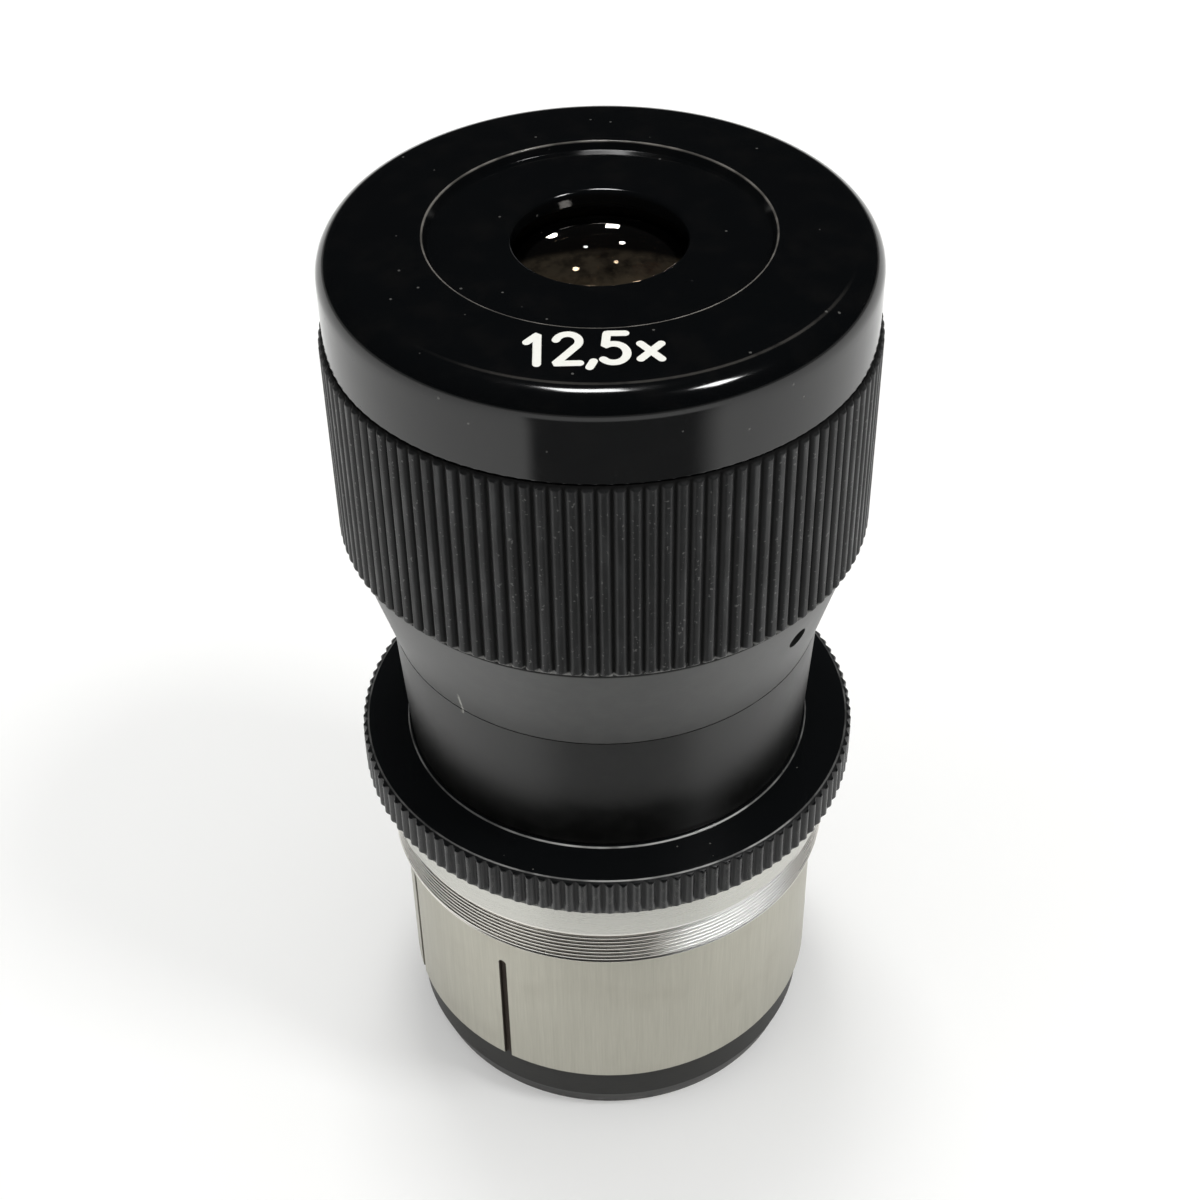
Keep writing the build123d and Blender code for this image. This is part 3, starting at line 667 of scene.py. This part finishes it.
def make_cap():
    """The cap's own section with soft edges at the rim, the dish and the aperture."""
    plate = dish_floor - CAP_PLATE
    roof = cap_low + CAP_SOCKET_DEPTH
    corners = [
        (CAP_SOCKET, cap_low, HIDDEN_EDGE),
        (cap_radius, cap_low, CAP_FOOT_EDGE),
        (cap_radius, crown_height(cap_radius), CAP_ROUNDING),
        (DISH_RADIUS, cap_top, SOFT_EDGE),
        (DISH_RADIUS - DISH_BEVEL, dish_floor, SOFT_EDGE),
        (EYE_APERTURE, dish_floor, EYE_LIP),
        (EYE_APERTURE, plate, HIDDEN_EDGE),
        (CAP_HOLLOW, plate, HIDDEN_EDGE),
        (CAP_HOLLOW, roof, HIDDEN_EDGE),
        (CAP_SOCKET, roof, HIDDEN_EDGE),
    ]
    points, faces = turned(rounded(corners, CAP_EDGE_STEPS))
    add_surface("cap_shell", points, faces, "upper_shell", "cap", ["eye_cap"])


def make_grip():
    """The grip's flutes, with rounded lands and a chamfer at both ends."""
    corners = [
        (GRIP_SEAT, grip_low, HIDDEN_EDGE),
        (flute_root, grip_low, FINE_EDGE),
        (grip_radius, grip_low + FLUTE_DEPTH, LAND_EDGE),
        (grip_radius, grip_top - FLUTE_DEPTH, LAND_EDGE),
        (flute_root, grip_top, FINE_EDGE),
        (GRIP_SEAT, grip_top, HIDDEN_EDGE),
    ]
    section = rounded(corners, EDGE_STEPS)
    points, faces = fluted(section, grip_radius, FLUTE_DEPTH, FLUTE_LAND, FLUTES, FLUTE_SAMPLES)
    add_surface("grip_flutes", points, faces, "upper_shell", "grip", ["grip_ring"])


def make_milled_ring():
    """The coupling's flange: a glossy top with a fine ledge round the neck's foot, and a milled edge."""
    joint_roof = milled_low + COUPLING_JOINT_DEPTH
    lip = milled_top - MILLED_LIP
    flange = milled_top - FOOT_LEDGE_STEP
    corners = [
        (COUPLING_JOINT, milled_low, HIDDEN_EDGE),
        (tooth_root, milled_low, FINE_EDGE),
        (milled_radius, milled_low + TOOTH_DEPTH, SOFT_EDGE),
        (milled_radius, milled_top - TOOTH_DEPTH, SOFT_EDGE),
        (tooth_root, flange, FLANGE_EDGE),
        (FOOT_LEDGE_RADIUS, flange, FINE_EDGE),
        (FOOT_LEDGE_RADIUS - FOOT_LEDGE_STEP, milled_top, FOOT_LEDGE_STEP),
        (MILLED_LIP_BORE, milled_top, FINE_EDGE),
        (MILLED_LIP_BORE, lip, HIDDEN_EDGE),
        (COUPLING_BORE, lip, HIDDEN_EDGE),
        (COUPLING_BORE, joint_roof, HIDDEN_EDGE),
        (COUPLING_JOINT, joint_roof, HIDDEN_EDGE),
    ]
    section = rounded(corners, EDGE_STEPS)
    points, faces = fluted(section, milled_radius, TOOTH_DEPTH, TOOTH_LAND, TEETH, TOOTH_SAMPLES)
    add_surface("milled_flange", points, faces, "coupling", "coupling", ["coupling_ring"])


def make_collar():
    """The collar's plain band over its fine thread. Rows of points up the thread's wall go into the section
    right after the point that ends the chamfer."""
    spigot = COUPLING_JOINT - JOINT_FIT
    wall_low, wall_high = collar_low + 0.45, band_foot - 0.15
    corners = [
        (COUPLING_BORE, collar_low, HIDDEN_EDGE),
        (THREAD_RADIUS - THREAD_CHAMFER, collar_low, FINE_EDGE),
        (THREAD_RADIUS, collar_low + THREAD_CHAMFER, FINE_EDGE),
        (THREAD_RADIUS, band_foot, FINE_EDGE),
        (band_radius, band_foot, BAND_EDGE),
        (band_radius, band_top, FINE_EDGE),
        (spigot, band_top, FINE_EDGE),
        (spigot, collar_top, HIDDEN_EDGE),
        (COUPLING_BORE, collar_top, HIDDEN_EDGE),
    ]
    section = rounded(corners, EDGE_STEPS)
    own, height = section.T
    chamfer_end = np.flatnonzero((own > THREAD_RADIUS - 0.001) & (height < wall_low))[-1]
    rows = np.arange(wall_low, wall_high, THREAD_PITCH / THREAD_ROWS)
    wall = np.column_stack((np.full(len(rows), THREAD_RADIUS), rows))
    section = np.insert(section, chamfer_end + 1, wall, axis=0)
    points, faces = threaded(section, collar_low + THREAD_RELIEF, band_foot - THREAD_RELIEF)
    add_surface("collar_thread", points, faces, "coupling", "collar", ["threaded_collar"])


# Figures on the cap, in millimetres on the plane of the crown: x to the right, y away from the front
STROKE_WIDTH = 0.68
STROKE_RISE = 0.02
STROKE_SPACING = 0.06
STROKE_SIDES = 12
STROKE_END_RINGS = 6
FIGURE_TOP = -15.38
FIGURE_BASE = -18.95


def arc_points(centre, radii, start, end, steps):
    """Points on an ellipse with two radii, from one angle in degrees to another."""
    angles = np.radians(np.linspace(start, end, steps))
    return np.column_stack((centre[0] + radii[0] * np.cos(angles), centre[1] + radii[1] * np.sin(angles)))


def figure_strokes():
    """Centre lines of the strokes of 12,5x, from left to right."""
    top, base = FIGURE_TOP, FIGURE_BASE
    two_head = arc_points((-2.60, top - 0.92), (0.90, 0.92), 165, -38, 14)
    five_bowl = arc_points((0.92, base + 1.14), (1.02, 1.14), 128, -140, 20)
    cross_left, cross_right, cross_low, cross_high = 2.98, 4.56, base + 0.42, base + 2.28
    return [
        np.array([(-5.72, top - 0.86), (-4.92, top), (-4.92, base)]),
        np.vstack((two_head, [(-3.50, base), (-1.66, base)])),
        np.array([(-0.62, base + 0.18), (-0.90, base - 0.52)]),
        np.vstack(([(1.82, top), (0.42, top), (0.28, base + 2.02)], five_bowl)),
        np.array([(cross_left, cross_low), (cross_right, cross_high)]),
        np.array([(cross_left, cross_high), (cross_right, cross_low)]),
    ]


def evenly_spaced(line):
    """The same line with points at even distances along it."""
    lengths = np.linalg.norm(np.diff(line, axis=0), axis=1)
    along = np.concatenate(([0], np.cumsum(lengths)))
    wanted = np.linspace(0, along[-1], max(3, int(along[-1] / STROKE_SPACING)))
    return np.column_stack((np.interp(wanted, along, line[:, 0]), np.interp(wanted, along, line[:, 1])))


def squared_off(wave, power):
    """A wave between -1 and 1 that keeps its sign and stays longer near its ends as the power falls."""
    return np.sign(wave) * np.abs(wave) ** power


def stroke_surface(line):
    """A flat stroke with round ends, carried along a centre line on the crown.
    Each ring is a squared-off oval: half the width times cos v to the power 0.4 sideways, and the rise times
    sin v to the power 0.6 up. In a round end the ring at the angle w lies half the width times cos w beyond
    the line's end, and its width and rise are those of the line times sin w."""
    path = evenly_spaced(line)
    half = STROKE_WIDTH / 2
    ahead = np.gradient(path, axis=0)
    ahead /= np.linalg.norm(ahead, axis=1)[:, None]
    end_turns = np.linspace(0.02, 1, STROKE_END_RINGS + 1)[:-1] * math.pi / 2
    first = path[0] - ahead[0] * half * np.cos(end_turns)[:, None]
    last = path[-1] + ahead[-1] * half * np.cos(end_turns[::-1])[:, None]
    centre = np.vstack((first, path, last))
    fullness = np.concatenate((np.sin(end_turns), np.ones(len(path)), np.sin(end_turns[::-1])))
    heading = np.pad(ahead, ((STROKE_END_RINGS, STROKE_END_RINGS), (0, 0)), mode="edge")
    side = np.column_stack((-heading[:, 1], heading[:, 0]))
    loop = even_turns(STROKE_SIDES)
    across = half * fullness[:, None] * squared_off(np.cos(loop), 0.4)
    rise = STROKE_RISE * fullness[:, None] * squared_off(np.sin(loop), 0.6)
    flat = centre[:, None, :] + across[..., None] * side[:, None, :]
    height = crown_height(np.linalg.norm(flat, axis=-1)) + rise
    return np.concatenate((flat, height[..., None]), axis=-1)


def make_figures():
    """The magnification's figures, filled with paint: one mesh of closed strokes. The grid's quads run the
    other way round from their first corner, so that they face outwards."""
    points, faces = [], []
    offset = 0
    for line in figure_strokes():
        stroke = stroke_surface(line)
        rings, sides, _ = stroke.shape
        first = np.arange(sides) + offset
        last = first + (rings - 1) * sides
        faces += (grid_faces(rings, sides, closed=False)[:, [0, 3, 2, 1]] + offset).tolist()
        faces += [first[::-1].tolist(), last.tolist()]
        points.append(stroke.reshape(-1, 3))
        offset += rings * sides
    add_surface("cap_figures", np.vstack(points), faces, "upper_shell", "figures")


make_cap()
make_grip()
make_milled_ring()
make_collar()
make_figures()

for finish, nodes in NODE_FINISHES.items():
    for node in nodes:
        finish_with(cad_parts[node], finish)


# Studio. The floor and the shadow card are in millimetres
FLOOR_HALF = 1500.0
FLOOR_DROP = 0.05
FLOOR_COLOUR = (0.80, 0.80, 0.79, 1.0)
FLOOR_WHITE = (1.0, 1.0, 0.99)
WHITE_SHARE = 0.22
HORIZON_START = 160
HORIZON_FULL = 520
HORIZON_SHARE = 0.9
CARD_LEFT = -26.0
CARD_RIGHT = 40.0
CARD_NEAR = 56.0
CARD_FAR = 330.0
CARD_LIFT = 0.2
CARD_SHARE = 0.88
# Colour of the painted shadow on the floor in front
SHADOW_CARD_COLOUR = (0.02, 0.02, 0.02, 1.0)
SKY_LIGHT = (0.60, 0.60, 0.60)
SKY_DARK = (0.012, 0.0125, 0.013)
SKY_PALE = (0.30, 0.30, 0.29)
HORIZON_BAND = 0.02


def flat_sheet(name, left, right, near, far, height, paint):
    """A flat sheet of the studio, from millimetres."""
    mesh = bpy.data.meshes.new(name)
    outline = ((left, near), (right, near), (right, far), (left, far))
    corners = np.array([(x, y, height) for x, y in outline])
    mesh.from_pydata(corners * MM, [], [(0, 1, 2, 3)])
    mesh.materials.append(paint.material)
    sheet = bpy.data.objects.new(name, mesh)
    bpy.context.scene.collection.objects.link(sheet)
    return sheet


def make_floor():
    """Plain pale floor; what the camera, metal and glass see of it is lifted to white outside the shadow, and
    towards the horizon the camera sees it wholly white."""
    paint = Paint("pale_floor", Base_Color=FLOOR_COLOUR, Roughness=0.9, Specular_IOR_Level=0.0)
    paint.shader.inputs["Emission Strength"].default_value = 1.0
    rays = paint.node("ShaderNodeLightPath")
    seen = rays.output("Is Camera Ray")
    sent_on = rays.output("Is Glossy Ray").larger(rays.output("Is Transmission Ray"))
    distance, _, _ = paint.axes()
    horizon = distance.ramp(HORIZON_START, HORIZON_FULL) * seen
    strength = seen.larger(sent_on) * WHITE_SHARE + horizon * HORIZON_SHARE
    paint.set("Emission Color", paint.mix(strength, (0, 0, 0), FLOOR_WHITE))
    floor = flat_sheet("floor", -FLOOR_HALF, FLOOR_HALF, -FLOOR_HALF, FLOOR_HALF, -FLOOR_DROP, paint)


def make_shadow_card():
    """Dark card on the floor before the eyepiece that only metal and lacquer mirror: a painted shadow on the
    floor in front, seen only in reflections. Its alpha is high inside a fan, between two azimuths and two
    distances, with soft edges."""
    paint = Paint("shadow_card", Base_Color=SHADOW_CARD_COLOUR, Roughness=1.0, Specular_IOR_Level=0.0)
    distance, _, azimuth = paint.axes()
    across = azimuth.window(CARD_LEFT - 4, CARD_LEFT + 2, CARD_RIGHT - 8, CARD_RIGHT + 8)
    along = distance.window(CARD_NEAR - 6, CARD_NEAR + 8, CARD_FAR * 0.8, CARD_FAR)
    paint.set("Alpha", across * along * CARD_SHARE)
    reach = CARD_FAR * 1.2
    card = flat_sheet("shadow_card", -reach, reach, -reach, 0, CARD_LIFT, paint)
    card.visible_camera = False
    card.visible_diffuse = False
    card.visible_transmission = False
    card.visible_shadow = False


def make_world():
    """White to the camera and a soft even light on the object; to metal, lacquer and glass pale along the
    horizon and dark above it, so that black lacquer stays black."""
    world = bpy.data.worlds.new("studio")
    bpy.context.scene.world = world
    world.use_nodes = True
    sky = Nodes(world.node_tree)
    rays = sky.node("ShaderNodeLightPath")
    direction = sky.node("ShaderNodeTexCoord").output("Generated")
    height = sky.node("ShaderNodeSeparateXYZ", None, {0: direction}).output("Z")
    mirrored = sky.mix(height.ramp(HORIZON_BAND, HORIZON_BAND * 3), SKY_PALE, SKY_DARK)
    lit = sky.mix(rays.output("Is Diffuse Ray"), mirrored, SKY_LIGHT)
    shown = sky.mix(rays.output("Is Camera Ray"), lit, (1, 1, 1))
    sky.tree.links.new(shown.socket, sky.tree.nodes["Background"].inputs["Color"])


# Lamps: name, shape, azimuth, elevation, distance, width, height, brightness; the distance, width and height
# are in metres. Lacquer mirrors the first two, the fill only lights, and only the eye lens sees the others
MIRRORED_LAMPS = (
    ("overhead", "RECTANGLE", -168.0, 79.0, 1.2, 0.22, 0.26, 22.0),
    ("right", "RECTANGLE", 66.0, 59.0, 1.2, 0.20, 0.20, 26.0),
)
FILL_LAMP = ("left_fill", "RECTANGLE", -70.0, 50.0, 1.4, 0.60, 0.60, 1.0)
LENS_LAMPS = (
    ("far_panel", "RECTANGLE", 177.3, 15.1, 1.5, 0.07, 0.16, 26.0),
    ("far_window", "ELLIPSE", -169.0, 18.5, 1.5, 0.07, 0.16, 26.0),
    ("far_spot_right", "ELLIPSE", 173.4, 31.5, 1.5, 0.04, 0.06, 20.0),
    ("far_spot_left", "ELLIPSE", -175.5, 35.0, 1.5, 0.03, 0.04, 14.0),
)
AIM_HEIGHT = 0.06


def add_lamp(name, shape, azimuth, elevation, distance, width, height, brightness):
    """A soft lamp that faces the object; its power is pi times width times height times brightness."""
    turn, lift = math.radians(azimuth), math.radians(elevation)
    towards = np.array((math.sin(turn) * math.cos(lift), -math.cos(turn) * math.cos(lift), math.sin(lift)))
    lamp = bpy.data.lights.new(name, "AREA")
    lamp.shape = shape
    lamp.size = width
    lamp.size_y = height
    lamp.energy = math.pi * width * height * brightness
    holder = bpy.data.objects.new(name, lamp)
    bpy.context.scene.collection.objects.link(holder)
    holder.location = np.array((0, 0, AIM_HEIGHT)) + towards * distance
    holder.rotation_mode = "QUATERNION"
    holder.rotation_quaternion = Vector(-towards).to_track_quat("-Z", "Y")
    return holder


def light_object():
    """The lamps that lacquer mirrors, and a weak fill from the left that it doesn't."""
    for lamp in MIRRORED_LAMPS:
        add_lamp(*lamp)
    add_lamp(*FILL_LAMP).visible_glossy = False


def light_lens():
    """The lamps beyond the eyepiece that light only the eye lens."""
    lens_alone = bpy.data.collections.new("lens_alone")
    lens_alone.objects.link(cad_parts["eye_lens"])
    for lamp in LENS_LAMPS:
        add_lamp(*lamp).light_linking.receiver_collection = lens_alone


# Camera, in metres and degrees: the photograph's viewing angle, solved from the eyepiece's own circles
CAMERA_PLACE = (0.0, -0.1503, 0.1830)
CAMERA_PITCH = 41.07
CAMERA_YAW = -0.19
CAMERA_ROLL = -0.99
SENSOR = 36.0
FOCAL_SHARE = 1.75
NEAREST = 0.01


def make_camera():
    """Camera whose long side covers one sensor width; the focal length is a share of that width."""
    yaw, pitch, roll = (math.radians(angle) for angle in (CAMERA_YAW, CAMERA_PITCH, CAMERA_ROLL))
    ahead = Vector((math.sin(yaw) * math.cos(pitch), math.cos(yaw) * math.cos(pitch), -math.sin(pitch)))
    level = Vector((math.cos(yaw), -math.sin(yaw), 0))
    up = level.cross(ahead)
    right = level * math.cos(roll) + up * math.sin(roll)
    top = up * math.cos(roll) - level * math.sin(roll)
    data = bpy.data.cameras.new("camera")
    data.sensor_width = SENSOR
    data.lens = SENSOR * FOCAL_SHARE
    data.clip_start = NEAREST
    camera = bpy.data.objects.new("camera", data)
    bpy.context.scene.collection.objects.link(camera)
    turn = Matrix((right, top, -ahead)).transposed()
    camera.matrix_world = Matrix.Translation(CAMERA_PLACE) @ turn.to_4x4()
    bpy.context.scene.camera = camera


make_floor()
make_shadow_card()
make_world()
light_object()
light_lens()
make_camera()
bpy.context.scene.view_settings.view_transform = "Standard"
